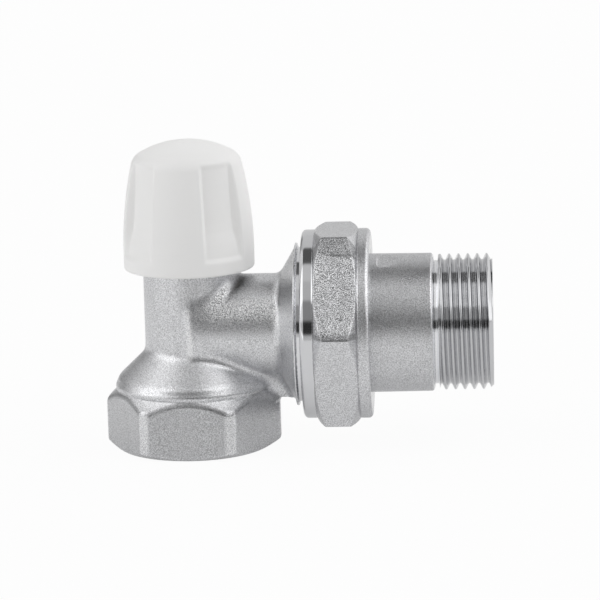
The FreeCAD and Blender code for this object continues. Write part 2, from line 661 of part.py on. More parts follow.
# Spindle: turned brass screw; the key's socket is broached into its head
regulating_spindle = new_body("regulating_spindle")
turn_profile(regulating_spindle, "Revolution", "spindle_screw", [
    ("0", "spindle_tip_bottom"), ("spindle_tip_radius", "spindle_tip_bottom"),
    ("spindle_tip_radius", "disc_clip_slot_bottom"), ("disc_clip_inner", "disc_clip_slot_bottom"),
    ("disc_clip_inner", "disc_clip_slot_top"), ("spindle_tip_radius", "disc_clip_slot_top"),
    ("spindle_tip_radius", "spindle_tip_top"), ("stem_radius", "spindle_tip_top"),
    ("stem_radius", "lower_groove_bottom"), ("stem_groove_radius", "lower_groove_bottom"),
    ("stem_groove_radius", "lower_groove_top"), ("stem_radius", "lower_groove_top"),
    ("stem_radius", "upper_groove_bottom"), ("stem_groove_radius", "upper_groove_bottom"),
    ("stem_groove_radius", "upper_groove_top"), ("stem_radius", "upper_groove_top"),
    ("stem_radius", "spindle_screw_bottom"), ("spindle_screw_radius", "spindle_screw_bottom"),
    ("spindle_screw_radius", "spindle_top_start"), ("spindle_top_radius", "spindle_top"),
    ("0", "spindle_top")])
key_socket_outline = hexagon(new_sketch(regulating_spindle, "key_socket_outline", "XY_Plane",
                                        lift=("z", "spindle_top")),
                             "spindle_socket_apothem", "spindle_socket_vertex",
                             "spindle_socket_half_vertex")
extrude(regulating_spindle, "Pocket", "key_socket", key_socket_outline, "spindle_socket_depth")
doc.recompute()
spindle_o_ring_lower = seal_ring("spindle_o_ring_lower", "stem_seal_radius", "stem_seal_section",
                                 "lower_seal_height")
spindle_o_ring_upper = seal_ring("spindle_o_ring_upper", "stem_seal_radius", "stem_seal_section",
                                 "upper_seal_height")

# Disc holder: cup and stud below, hub with a slot for the clip above
valve_disc = new_body("valve_disc")
turn_profile(valve_disc, "Revolution", "disc_holder", [
    ("0", "disc_stud_bottom"), ("disc_stud_radius", "disc_stud_bottom"),
    ("disc_stud_radius", "disc_bottom"), ("disc_radius", "disc_bottom"),
    ("disc_radius", "disc_rim_top"), ("disc_hub_radius", "disc_rim_top"),
    ("disc_hub_radius", "disc_hub_top"), ("disc_socket_radius", "disc_hub_top"),
    ("disc_socket_radius", "disc_clip_slot_top"), ("disc_clip_outer", "disc_clip_slot_top"),
    ("disc_clip_outer", "disc_clip_slot_bottom"), ("disc_socket_radius", "disc_clip_slot_bottom"),
    ("disc_socket_radius", "disc_socket_floor"), ("0", "disc_socket_floor")])
disc_clip = seal_ring("disc_clip", "spindle_tip_radius", "disc_clip_section", "disc_clip_height")
disc_clip.setExpression("Angle3", "sizes.clip_angle")
seat_washer = new_body("seat_washer")
turn_profile(seat_washer, "Revolution", "washer_ring", [
    ("washer_hole_radius", "washer_bottom"), ("disc_radius", "washer_bottom"),
    ("disc_radius", "disc_bottom"), ("washer_hole_radius", "disc_bottom")])
washer_nut_blank = doc.addObject("Part::Prism", "washer_nut_blank")
washer_nut_blank.Polygon = 6
washer_nut_blank.setExpression("Circumradius", "sizes.washer_nut_vertex")
washer_nut_blank.setExpression("Height", "sizes.washer_nut_height")
washer_nut_blank.setExpression("Placement.Base.z", "sizes.washer_nut_bottom")
washer_nut_hole = doc.addObject("Part::Cylinder", "washer_nut_hole")
washer_nut_hole.setExpression("Radius", "sizes.disc_stud_radius")
washer_nut_hole.setExpression("Height", "sizes.washer_nut_height")
washer_nut_hole.setExpression("Placement.Base.z", "sizes.washer_nut_bottom")
washer_nut = doc.addObject("Part::Cut", "washer_nut")
washer_nut.Label = "washer_nut"
washer_nut.Base = washer_nut_blank
washer_nut.Tool = washer_nut_hole

# Protective cap: moulded shell; the flutes are its finger grips
protective_cap = new_body("protective_cap")
turn_profile(protective_cap, "Revolution", "cap_dome", [
    ("0", "cap_rim"), ("cap_radius", "cap_rim"),
    ("cap_radius", "cap_side_start", "cap_side_radius"),
    ("cap_shoulder_radius", "cap_shoulder_height", "cap_corner_radius"),
    ("cap_crown_radius", "cap_crown_height", "cap_dome_radius"), ("0", "cap_top")])
turn_profile(protective_cap, "Groove", "cap_hollow", [
    ("0", "cap_rim"), ("cap_inner_radius", "cap_rim"), ("cap_inner_radius", "cap_sleeve_bottom"),
    ("0", "cap_sleeve_bottom")])
flute_back = turn_profile(protective_cap, "Revolution", "flute_back", [
    ("flute_back_radius", "flute_back_full"), ("cap_inner_radius", "flute_back_bottom"),
    ("cap_inner_radius", "cap_sleeve_bottom"), ("flute_back_radius", "cap_sleeve_bottom")],
    angle="flute_back_angle")
polar(protective_cap, "flute_backs", flute_back, "flute_count")
turn_profile(protective_cap, "Groove", "sleeve_bore", [
    ("0", "cap_sleeve_bottom"), ("cap_sleeve_bore", "cap_sleeve_bottom"),
    ("cap_sleeve_bore", "cap_ceiling"), ("0", "cap_ceiling")])
relief = turn_profile(protective_cap, "Groove", "relief", [
    ("cap_sleeve_radius", "relief_bottom"), ("relief_radius", "relief_bottom"),
    ("relief_radius", "relief_top"), ("cap_sleeve_radius", "relief_top")],
    angle="relief_angle", turn=value("relief_turn"))
polar(protective_cap, "reliefs", relief, "flute_count")
flute = turn_profile(protective_cap, "Groove", "flute", [
    ("cap_radius", "flute_foot_bottom", "-flute_foot_height"),
    ("flute_floor_radius", "flute_floor_start"), ("flute_top_radius", "flute_cut_top"),
    ("flute_cut_radius", "flute_cut_top"), ("flute_cut_radius", "flute_foot_bottom")],
    angle="flute_angle")
polar(protective_cap, "flutes", flute, "flute_count")
protective_cap.Placement = Placement(Vector(), Rotation(Vector(0, 0, 1), value("cap_turn")))

cap_gasket = new_body("cap_gasket")
turn_profile(cap_gasket, "Revolution", "gasket_ring", [
    ("cap_gasket_inner", "cap_gasket_bottom"), ("cap_thread_radius", "cap_gasket_bottom"),
    ("cap_thread_radius", "cap_ceiling"), ("cap_gasket_inner", "cap_ceiling")])

# Union nut: drawn about its own Z axis, which is the branch's axis
union_nut = new_body("union_nut")
nut_hexagon = hexagon(new_sketch(union_nut, "nut_hexagon", "XY_Plane", lift=("z", "nut_hexagon_start")),
                      "nut_apothem", "nut_vertex", "nut_half_vertex")
extrude(union_nut, "Pad", "nut_blank", nut_hexagon, "nut_hexagon_length")
doc.recompute()
turn_profile(union_nut, "Groove", "nut_corners", [
    ("nut_apothem", "nut_hexagon_start"), ("nut_vertex", "nut_corner_start"),
    ("nut_vertex", "nut_corner_end"), ("nut_apothem", "nut_hexagon_end"),
    ("nut_clear_radius", "nut_hexagon_end"), ("nut_clear_radius", "nut_hexagon_start")])
nut_collars = turn_profile(union_nut, "Revolution", "nut_collars", [
    ("nut_bore_radius", "nut_start"), ("nut_front_radius", "nut_start"),
    ("nut_front_radius", "nut_hexagon_start"), ("nut_back_radius", "nut_hexagon_end"),
    ("nut_back_radius", "nut_end"), ("nut_bore_radius", "nut_end")])
nut_front_edge = circle_edges(nut_collars.Shape, value("nut_front_radius"),
                              Vector(0, 0, value("nut_start")), Vector(0, 0, 1))
nut_front = round_edges(union_nut, "nut_front_edge", nut_collars, nut_front_edge, "nut_front_round")
nut_back_edge = circle_edges(nut_front.Shape, value("nut_back_radius"),
                             Vector(0, 0, value("nut_end")), Vector(0, 0, 1))
round_edges(union_nut, "nut_back_edge", nut_front, nut_back_edge, "nut_back_round")
turn_profile(union_nut, "Groove", "nut_bore", [
    ("0", "nut_start"), ("nut_mouth_radius", "nut_start"), ("nut_bore_radius", "nut_mouth_start"),
    ("nut_bore_radius", "nut_flange_start"), ("nut_hole_radius", "nut_flange_start"),
    ("nut_hole_radius", "nut_end"), ("0", "nut_end")])
lay_along_branch(union_nut, value("nut_turn"))

# Tail piece: turned tube with its seal on the nose and the radiator's thread at its end
tail_piece = new_body("tail_piece")
turn_profile(tail_piece, "Revolution", "tail_tube", [
    ("tail_bore_radius", "tail_nose_start"), ("tail_nose_tip_radius", "tail_nose_start"),
    ("tail_nose_radius", "tail_nose_full"), ("tail_nose_radius", "tail_groove_start"),
    ("tail_groove_radius", "tail_groove_start"), ("tail_groove_radius", "tail_groove_end"),
    ("tail_nose_radius", "tail_groove_end"), ("tail_nose_radius", "tail_collar_start"),
    ("tail_collar_radius", "tail_collar_start"), ("tail_collar_radius", "tail_collar_end"),
    ("tail_tube_radius", "tail_collar_end"), ("tail_tube_end_radius", "tail_shoulder_start"),
    ("tail_shoulder_radius", "tail_undercut_start"), ("tail_undercut_radius", "tail_undercut_start"),
    ("tail_undercut_radius", "tail_thread_start"), ("tail_thread_radius", "tail_thread_start"),
    ("tail_thread_radius", "tail_tip_start"), ("tail_tip_radius", "tail_end"),
    ("tail_mouth_radius", "tail_end"), ("tail_bore_radius", "tail_mouth_start")])
lug = turn_profile(tail_piece, "Revolution", "spanner_lug", [
    ("tail_lug_radius", "tail_lug_start"), ("tail_lug_root", "tail_lug_start"),
    ("tail_lug_root", "tail_lug_end"), ("tail_lug_radius", "tail_lug_end")], angle="tail_lug_angle")
polar(tail_piece, "spanner_lugs", lug, "tail_lug_count")
flat = tail_piece.newObject("PartDesign::SubtractiveBox", "stamped_flat")
flat.setExpression("Length", "sizes.cutter_margin")
flat.setExpression("Width", "sizes.tail_flat_width")
flat.setExpression("Height", "sizes.tail_flat_length")
flat_turn = 180.0 + value("tail_flat_angle")
flat_side = Rotation(Vector(0, 0, 1), flat_turn)
flat_corner = Vector(value("tail_flat_distance"), -value("tail_flat_width") / 2, value("tail_flat_start"))
flat.Placement = Placement(flat_side.multVec(flat_corner), flat_side)
lay_along_branch(tail_piece)
tail_o_ring = seal_ring("tail_o_ring", "tail_seal_radius", "tail_seal_section", "tail_seal_x",
                        along_branch=True)

doc.recompute()

parts = [valve_body, headwork_body, headwork_o_ring, spindle_circlip, regulating_spindle,
         spindle_o_ring_lower, spindle_o_ring_upper, valve_disc, disc_clip, seat_washer, washer_nut,
         protective_cap, cap_gasket, union_nut, tail_piece, tail_o_ring]

for thing in doc.Objects:
    if "Invalid" in thing.State or "Error" in thing.State:
        raise RuntimeError(f"{thing.Label} failed: {thing.State}")
for part in parts:
    if part.Shape.isNull() or not part.Shape.isValid():
        raise RuntimeError(f"{part.Label} has no valid shape")

os.makedirs("parts", exist_ok=True)
for part in parts:
    part.Shape.exportStep(f"parts/{part.Label}.step")
    print(part.Label, len(part.Shape.Solids), round(part.Shape.Volume, 2), part.Shape.BoundBox)
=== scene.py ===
import math

import bpy
import numpy as np
from mathutils import Matrix, Vector


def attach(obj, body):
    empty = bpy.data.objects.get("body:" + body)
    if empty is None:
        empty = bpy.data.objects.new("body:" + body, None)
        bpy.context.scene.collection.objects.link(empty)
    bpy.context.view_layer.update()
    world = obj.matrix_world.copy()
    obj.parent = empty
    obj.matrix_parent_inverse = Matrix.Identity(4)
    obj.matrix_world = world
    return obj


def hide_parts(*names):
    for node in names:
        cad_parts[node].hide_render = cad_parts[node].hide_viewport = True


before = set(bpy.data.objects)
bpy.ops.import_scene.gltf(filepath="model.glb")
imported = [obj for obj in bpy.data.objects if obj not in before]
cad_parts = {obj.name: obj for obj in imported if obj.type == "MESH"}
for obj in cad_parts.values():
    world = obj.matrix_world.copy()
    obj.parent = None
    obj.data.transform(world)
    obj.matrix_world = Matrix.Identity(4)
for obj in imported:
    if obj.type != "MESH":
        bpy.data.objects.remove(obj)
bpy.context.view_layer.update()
stage = bpy.context.scene
stage.view_settings.view_transform = "Standard"


# Camera: a long lens three quarters of a metre away, a little above the valve and to its right, as
# a small fitting is photographed for a catalogue. The picture is turned by a degree and a half.
AIM = Vector((0.02133, 0.0, 0.02843))
CAMERA_DISTANCE = 0.778
CAMERA_AZIMUTH = math.radians(2.97)
CAMERA_ELEVATION = math.radians(11.8)
CAMERA_ROLL = math.radians(-1.53)

away = Vector((math.sin(CAMERA_AZIMUTH) * math.cos(CAMERA_ELEVATION),
               -math.cos(CAMERA_AZIMUTH) * math.cos(CAMERA_ELEVATION),
               math.sin(CAMERA_ELEVATION)))
level = Vector((math.cos(CAMERA_AZIMUTH), math.sin(CAMERA_AZIMUTH), 0.0))
upright = away.cross(level)
picture_right = level * math.cos(CAMERA_ROLL) + upright * math.sin(CAMERA_ROLL)
picture_up = upright * math.cos(CAMERA_ROLL) - level * math.sin(CAMERA_ROLL)
view = Matrix((picture_right, picture_up, away)).transposed().to_4x4()
view.translation = AIM + away * CAMERA_DISTANCE
lens = bpy.data.cameras.new("camera")
lens.sensor_width = 36.0
lens.lens = 240.0
lens.clip_start = 0.05
camera = bpy.data.objects.new("camera", lens)
camera.matrix_world = view
stage.collection.objects.link(camera)
stage.camera = camera


# Studio: a white room with one wide softbox high in front. A dark band lies between it and the
# floor and another hangs overhead, and both show in the plated metal. All of it is in the world.
class Socket:
    """An output of a node tree. Python's operators on it add Math nodes."""

    def __init__(self, tree, output):
        self.tree = tree
        self.output = output

    def math(self, operation, *others):
        """A Math node on this output and others."""
        node = self.tree.nodes.new("ShaderNodeMath")
        node.operation = operation
        for slot, entry in zip(node.inputs, (self, *others)):
            plug(self.tree, entry, slot)
        return Socket(self.tree, node.outputs[0])

    def __add__(self, other):
        return self.math("ADD", other)

    def __sub__(self, other):
        return self.math("SUBTRACT", other)

    def __mul__(self, other):
        return self.math("MULTIPLY", other)

    def __truediv__(self, other):
        return self.math("DIVIDE", other)

    def __rsub__(self, other):
        return self.math("MULTIPLY", -1.0).math("ADD", other)

    def __neg__(self):
        return self.math("MULTIPLY", -1.0)

    __radd__ = __add__
    __rmul__ = __mul__

    def clamped(self):
        return self.math("MAXIMUM", 0.0).math("MINIMUM", 1.0)

    def step(self, start, end):
        """0 before start, 1 after end, smooth between them."""
        share = ((self - start) / (end - start)).clamped()
        return share * share * (3.0 - share * 2.0)


def plug(tree, entry, slot):
    """Links a socket, or sets a plain number, colour or vector."""
    if isinstance(entry, Socket):
        tree.links.new(entry.output, slot)
    else:
        slot.default_value = entry


class Recipe:
    """The node tree of a material or of the world, emptied, with short ways to add to it."""

    def __init__(self, owner):
        owner.use_nodes = True
        self.tree = owner.node_tree
        self.tree.nodes.clear()

    def node(self, kind, settings=None, sockets=None, output=0):
        """Any node but a Math node. Its settings are set first, then its sockets, by name or number,
        to values or links. Gives its output of that number, if it has outputs."""
        node = self.tree.nodes.new("ShaderNode" + kind)
        for name, entry in (settings or {}).items():
            setattr(node, name, entry)
        for name, entry in (sockets or {}).items():
            plug(self.tree, entry, node.inputs[name])
        return Socket(self.tree, node.outputs[output]) if len(node.outputs) else None

    def mix(self, share, first, second):
        """A colour between two, by a share from 0 to 1."""
        return self.node("Mix", {"data_type": "RGBA"}, {0: share, 6: first, 7: second}, 2)

    def noise(self, where, scale, detail=2.0, roughness=0.5):
        """Noise from 0 to 1 on a vector in metres; scale is in lumps a metre."""
        return self.node("TexNoise", None, {"Vector": where, "Scale": scale, "Detail": detail,
                                            "Roughness": roughness})


# Each row is a band of the room: the rise at which it begins, in degrees from level in front over
# the top to level behind, and its glow at the left, ahead and at the right.
ROOM = (
    (-95.0, 1.30, 0.54, 0.62),
    (-2.0, 0.50, 0.03, 0.05),
    (15.0, 0.88, 0.27, 0.38),
    (40.0, 1.54, 0.52, 1.72),
    (65.0, 1.50, 0.62, 1.78),
    (90.0, 0.88, 0.10, 1.42),
    (118.0, 0.55, 0.63, 1.02),
    (150.0, 0.28, 0.66, 0.90),
)
BAND_BLUR = 2.5
SIDE_BEGINS = 0.28
SIDE_FULL = 0.42
WHITE = (1.0, 1.0, 1.0, 1.0)

world = bpy.data.worlds.new("white_room")
stage.world = world
room = Recipe(world)
direction = room.node("TexCoord")
side, back, height = (room.node("SeparateXYZ", None, {"Vector": direction}, axis) for axis in range(3))
turn = height.math("ARCTAN2", -back) * math.degrees(1.0)
turn = turn + turn.math("LESS_THAN", ROOM[0][0]) * 360.0
rises = [turn.step(band[0] - BAND_BLUR, band[0] + BAND_BLUR) for band in ROOM[1:]]
at_left = 1.0 - side.step(-SIDE_FULL, -SIDE_BEGINS)
at_right = side.step(SIDE_BEGINS, SIDE_FULL)
glow = 0.0
for entry, share in ((1, at_left), (2, 1.0 - at_left - at_right), (3, at_right)):
    band_glow = ROOM[0][entry]
    for rise, band, after in zip(rises, ROOM, ROOM[1:]):
        band_glow = rise * (after[entry] - band[entry]) + band_glow
    glow = share * band_glow + glow
is_seen = room.node("LightPath")
strength = is_seen + (1.0 - is_seen) * glow
background = room.node("Background", None, {"Color": WHITE, "Strength": strength})
room.node("OutputWorld", None, {"Surface": background})

# The floor is a sheet of pale paper. A part of it glows by itself, more of it where it is seen.
FLOOR_FRONT = -0.19
FLOOR_REACH = 3.0
FLOOR_WHITE = 0.80
FLOOR_GLOW = 0.33
FLOOR_GLOW_SEEN = 0.95

floor_mesh = bpy.data.meshes.new("floor")
floor_corners = [(-FLOOR_REACH, FLOOR_FRONT, 0.0), (FLOOR_REACH, FLOOR_FRONT, 0.0),
                 (FLOOR_REACH, FLOOR_REACH, 0.0), (-FLOOR_REACH, FLOOR_REACH, 0.0)]
floor_mesh.from_pydata(floor_corners, [], [(0, 1, 2, 3)])
floor = bpy.data.objects.new("floor", floor_mesh)
stage.collection.objects.link(floor)
paper = bpy.data.materials.new("floor_paper")
sheet = Recipe(paper)
lit = sheet.node("BsdfDiffuse", None, {"Color": (FLOOR_WHITE, FLOOR_WHITE, FLOOR_WHITE, 1.0)})
glowing = sheet.node("Emission", None, {"Color": WHITE, "Strength": 1.0})
glow_share = sheet.node("LightPath") * (FLOOR_GLOW_SEEN - FLOOR_GLOW) + FLOOR_GLOW
paper_surface = sheet.node("MixShader", None, {0: glow_share, 1: lit, 2: glowing})
sheet.node("OutputMaterial", None, {"Surface": paper_surface})
floor_mesh.materials.append(paper)


# Valve body: one hot-stamped brass forging with hexagon, bead, conical shoulder, neck, branch and
# flange, all run together by the die's soft corners, then bored, threaded, tumbled and plated.
MM = 0.001
AXIS_HEIGHT = 23.7
BOSS_APOTHEM = 15.2
BOSS_TURN = math.radians(-1.2)
BOSS_CORNER = 17.0
BOSS_HEIGHT = 11.6
BOSS_FOOT = 14.4
BOSS_SHOULDER = 9.5
NECK_RADIUS = 9.05
NECK_TOP = 39.5
BRANCH_RADIUS = 10.0
LIP_RADIUS = 15.85
LIP_START = 20.5
LIP_END = 20.95
BODY_END = 29.2
RIB_LOW = 9.6
RIB_HIGH = 15.0
RIB_START = 13.0
RIB_END = 19.2
UNION_CREST = 16.55
UNION_PITCH = 2.309
UNION_DEPTH = 1.48
PIPE_PITCH = 1.814
PIPE_DEPTH = 1.16
INLET_CREST = 12.06
DIE_SOFTNESS = 0.50
TURNED_SOFTNESS = 0.10
BORED_SOFTNESS = 0.07
BOSS_FILLET = 0.25
BRANCH_FILLET = 1.6
RIB_FILLET = 1.3
THREAD_SLOPE = 0.75
PROFILE_STEP = 0.05


def outline_field(corners, across, along):
    """Signed distance to a closed outline, negative inside: the least distance to any side, and a
    sign from how often a level ray crosses the sides."""
    u, v = np.meshgrid(across, along, indexing="ij")
    nearest = np.full(u.shape, 1e9)
    inside = np.zeros(u.shape, bool)
    ends = np.roll(corners, -1, axis=0)
    for (u0, v0), (u1, v1) in zip(corners, ends):
        du, dv = u1 - u0, v1 - v0
        share = np.clip(((u - u0) * du + (v - v0) * dv) / (du * du + dv * dv), 0.0, 1.0)
        nearest = np.minimum(nearest, np.hypot(u - u0 - share * du, v - v0 - share * dv))
        if dv:
            inside ^= ((v0 > v) != (v1 > v)) & (u < u0 + (v - v0) * du / dv)
    return np.where(inside, -nearest, nearest)


def softened(field, radius):
    """The field averaged with a bell curve along both of its axes, which rounds every corner."""
    reach = int(math.ceil(2.5 * radius / PROFILE_STEP))
    offsets = np.arange(-reach, reach + 1) * PROFILE_STEP
    weights = np.exp(-0.5 * (offsets / radius) ** 2)
    weights /= weights.sum()
    for axis in (0, 1):
        margins = [(0, 0), (0, 0)]
        margins[axis] = (reach, reach)
        padded = np.pad(field, margins, "edge")
        field = sum(weight * np.take(padded, range(shift, shift + field.shape[axis]), axis)
                    for shift, weight in enumerate(weights))
    return field


class TurnedForm:
    """A turned solid: its outline's softened distance, looked up by radius and place on the axis."""

    def __init__(self, corners, softness):
        corners = np.asarray(corners, float)
        self.low = corners.min(0) - 3.0
        high = corners.max(0) + 3.0
        self.axes = [np.arange(self.low[a], high[a] + PROFILE_STEP, PROFILE_STEP) for a in (0, 1)]
        self.field = softened(outline_field(corners, *self.axes), softness)

    def __call__(self, radius, place):
        """Distance at each point, from the four nearest entries of the table, plus the way back to
        the table from a point beyond it."""
        exact = [(np.asarray(entry) - low) / PROFILE_STEP for entry, low in zip((radius, place), self.low)]
        spots = [np.clip(spot, 0.0, len(axis) - 1.001) for spot, axis in zip(exact, self.axes)]
        i, j = (spot.astype(int) for spot in spots)
        p, q = spots[0] - i, spots[1] - j
        table = self.field
        near = table[i, j] * (1 - q) + table[i, j + 1] * q
        far = table[i + 1, j] * (1 - q) + table[i + 1, j + 1] * q
        overshoot = sum(np.abs(before - after) for before, after in zip(exact, spots))
        return near * (1 - p) + far * p + overshoot * PROFILE_STEP


def joined(first, second, radius):
    """Union of two solids' distances with a round fillet of that radius between them."""
    inner = np.hypot(np.maximum(radius - first, 0.0), np.maximum(radius - second, 0.0))
    return np.maximum(radius, np.minimum(first, second)) - inner


def cut_to(first, second, radius):
    """What two solids share, with the edge between them rounded to that radius."""
    outer = np.hypot(np.maximum(radius + first, 0.0), np.maximum(radius + second, 0.0))
    return np.minimum(-radius, np.maximum(first, second)) + outer


def soft_least(first, second, reach):
    """The smaller of two values, with the corner between them rounded off."""
    share = np.clip(0.5 + 0.5 * (second - first) / reach, 0.0, 1.0)
    return second * (1 - share) + first * share - reach * share * (1 - share)


def thread_wave(turns):
    """Depth of a pipe thread from 0 at the crest to 1 at the root, against turns of the screw:
    a triangle wave with 27.5 degree flanks, its tops cut to a sixth of the pitch and rounded."""
    tooth = np.abs(2.0 * (turns - np.floor(turns)) - 1.0)
    flank = 1.5 * (tooth - 0.5)
    return 0.5 - soft_least(0.5, -soft_least(0.5, flank, 0.16), 0.16)


def arc(centre, radii, start, end, count):
    """Points along an ellipse's arc, angles in degrees."""
    angles = np.radians(np.linspace(start, end, count))
    return [(centre[0] + radii[0] * math.cos(t), centre[1] + radii[1] * math.sin(t)) for t in angles]


# Turned forms of the forging and of what is bored out of it: each corner is (radius, place).
column = TurnedForm([
    (0.0, 9.0), (14.4, 9.0), (14.4, 11.5), *arc((14.5, 12.3), (0.75, 0.85), -80, 80, 9),
    (14.35, 13.3), (14.9, 13.65), *arc((11.55, 20.3), (2.5, 2.5), 225.7, 180, 7),
    (NECK_RADIUS, NECK_TOP), (0.0, NECK_TOP)], DIE_SOFTNESS)
branch = TurnedForm([
    (0.0, -0.3), (8.8, -0.3), *arc((8.8, 0.9), (1.2, 1.2), -75, 0, 7),
    (BRANCH_RADIUS, 15.2), (9.98, 16.3), (10.05, 16.9), (10.2, 17.28), (10.48, 17.65), (10.88, 18.0),
    (15.15, LIP_START), (LIP_RADIUS, LIP_START), (LIP_RADIUS, LIP_END), (15.0, LIP_END),
    (15.0, 22.1), (UNION_CREST, 22.35), (UNION_CREST, 28.3), (15.4, BODY_END),
    (0.0, BODY_END)], TURNED_SOFTNESS)
waterway = TurnedForm([
    (0.0, -2.0), (12.56, -2.0), (12.56, 0.0), (INLET_CREST, 0.5), (INLET_CREST, 10.6),
    (5.9, 12.45), (5.9, 16.0), (6.5, 16.0), (6.5, 15.4), (6.9, 15.4), (6.9, 32.5),
    (7.45, 32.5), (7.45, 38.42), (8.44, 38.42), (8.44, 41.0), (0.0, 41.0)], BORED_SOFTNESS)
socket = TurnedForm([
    (0.0, 3.45), (7.7, 3.45), (7.7, 18.36), (13.0, 22.6), (13.0, 28.7), (13.5, BODY_END),
    (13.5, 31.0), (0.0, 31.0)], BORED_SOFTNESS)


def beyond_flats(x, y):
    """Distance past the hexagon's flats: the greatest of |y cos t - x sin t| over its three
    directions t, less the apothem."""
    reaches = [np.abs(y * math.cos(t) - x * math.sin(t))
               for t in (BOSS_TURN, BOSS_TURN + math.pi / 3, BOSS_TURN - math.pi / 3)]
    return np.maximum(np.maximum(reaches[0], reaches[1]), reaches[2]) - BOSS_APOTHEM


def body_field(x, y, z):
    """Distance to the forging's surface in millimetres, negative in the metal: hexagon and column
    joined to branch and rib, less the bores and the inlet's thread."""
    from_spindle = np.hypot(x, y)
    up = z - AXIS_HEIGHT
    from_branch = np.hypot(y, up)
    boss = cut_to(beyond_flats(x, y), from_spindle - BOSS_CORNER, 0.15)
    boss = cut_to(boss, (from_spindle - BOSS_CORNER + z - BOSS_SHOULDER) * math.sqrt(0.5), 0.5)
    boss = cut_to(boss, ((from_spindle - BOSS_FOOT) * 1.2 - z * 2.6) / math.hypot(1.2, 2.6), 0.4)
    boss = cut_to(boss, np.abs(z - BOSS_HEIGHT / 2) - BOSS_HEIGHT / 2, 0.15)
    upright_part = joined(boss, column(from_spindle, z), BOSS_FILLET)
    turn_about_branch = np.arctan2(up, y) / (2 * math.pi)
    crest = UNION_CREST - UNION_DEPTH * thread_wave(x / UNION_PITCH - turn_about_branch)
    to_crest = np.where(x > 21.7, (from_branch - crest) * THREAD_SLOPE, -1e3)
    cross_part = np.maximum(branch(from_branch, x), to_crest)
    rib_half_width = 2.0 + (z - RIB_LOW) * 0.33
    rib = np.maximum((np.abs(y) - rib_half_width) * 0.95, np.maximum(RIB_LOW - z, z - RIB_HIGH))
    rib = np.maximum(rib, np.maximum(RIB_START - x, x - RIB_END))
    metal = joined(upright_part, cross_part, BRANCH_FILLET)
    metal = joined(metal, rib, RIB_FILLET)
    turn_about_spindle = np.arctan2(y, x) / (2 * math.pi)
    root = INLET_CREST + PIPE_DEPTH * thread_wave(0.5 + z / PIPE_PITCH - turn_about_spindle)
    threaded = np.maximum((from_spindle - root) * THREAD_SLOPE, np.abs(z - 4.4) - 5.2)
    hollow = np.minimum(waterway(from_spindle, z), threaded)
    hollow = np.minimum(hollow, socket(from_branch, x))
    return cut_to(metal, -hollow, 0.12)


def grid_line(*stretches):
    """Places along one axis: each stretch is (start, end, spacing), laid end to end."""
    pieces = []
    for start, end, spacing in stretches:
        count = max(1, int(round((end - start) / spacing)))
        pieces.append(np.linspace(start, end, count, endpoint=False))
    return np.concatenate(pieces + [np.array([stretches[-1][1]])])


def slope_of(field, points, reach):
    """Gradient of a field at points, by central differences."""
    columns = []
    for axis in range(3):
        shift = np.zeros(3)
        shift[axis] = reach
        columns.append(field(*(points + shift).T) - field(*(points - shift).T))
    return np.stack(columns, 1) / (2 * reach)


def skin_of(field, xs, ys, zs):
    """Surface net: a vertex in every grid cell that the surface passes, at the mean of its crossings,
    and a quad round every grid edge that it crosses, then three Newton steps onto the surface."""
    x, y, z = np.meshgrid(xs, ys, zs, indexing="ij")
    values = field(x, y, z)
    inside = values < 0
    corner_steps = [(a, b, c) for a in (0, 1) for b in (0, 1) for c in (0, 1)]
    cells = tuple(n - 1 for n in values.shape)

    def window(array, step):
        return array[tuple(slice(s, s + n) for s, n in zip(step, cells))]

    count = sum(window(inside, step).astype(np.int8) for step in corner_steps)
    crossed = (count > 0) & (count < 8)
    number = np.full(cells, -1)
    number[crossed] = np.arange(crossed.sum())
    i, j, k = np.nonzero(crossed)
    total = np.zeros((len(i), 3))
    hits = np.zeros(len(i))
    for first in corner_steps:
        for axis in range(3):
            if first[axis]:
                continue
            second = tuple(s + (a == axis) for a, s in enumerate(first))
            f0 = values[i + first[0], j + first[1], k + first[2]]
            f1 = values[i + second[0], j + second[1], k + second[2]]
            here = (f0 < 0) != (f1 < 0)
            share = np.where(here, f0 / np.where(here, f0 - f1, 1.0), 0.0)
            for a, line, base in ((0, xs, i), (1, ys, j), (2, zs, k)):
                start, end = line[base + first[a]], line[base + second[a]]
                total[:, a] += np.where(here, start + share * (end - start), 0.0)
            hits += here
    points = total / hits[:, None]
    quads = []
    for axis in range(3):
        u, v = [(1, 2), (2, 0), (0, 1)][axis]
        low = tuple(slice(0, -1) if a == axis else slice(1, -1) for a in range(3))
        high = tuple(slice(1, None) if a == axis else slice(1, -1) for a in range(3))
        flips = np.argwhere(inside[low] != inside[high])
        flips[:, u] += 1
        flips[:, v] += 1
        ring = []
        for du, dv in ((-1, -1), (0, -1), (0, 0), (-1, 0)):
            cell = flips.copy()
            cell[:, u] += du
            cell[:, v] += dv
            ring.append(number[tuple(cell.T)])
        ring = np.stack(ring, 1)
        outwards = inside[tuple(flips.T)]
        quads.append(np.where(outwards[:, None], ring, ring[:, ::-1]))
    for _ in range(3):
        slope = slope_of(field, points, 0.05)
        size = np.maximum((slope ** 2).sum(1), 1e-6)
        step = slope * (field(*points.T) / size)[:, None]
        points -= np.clip(step, -0.15, 0.15)
    return points, np.concatenate(quads)


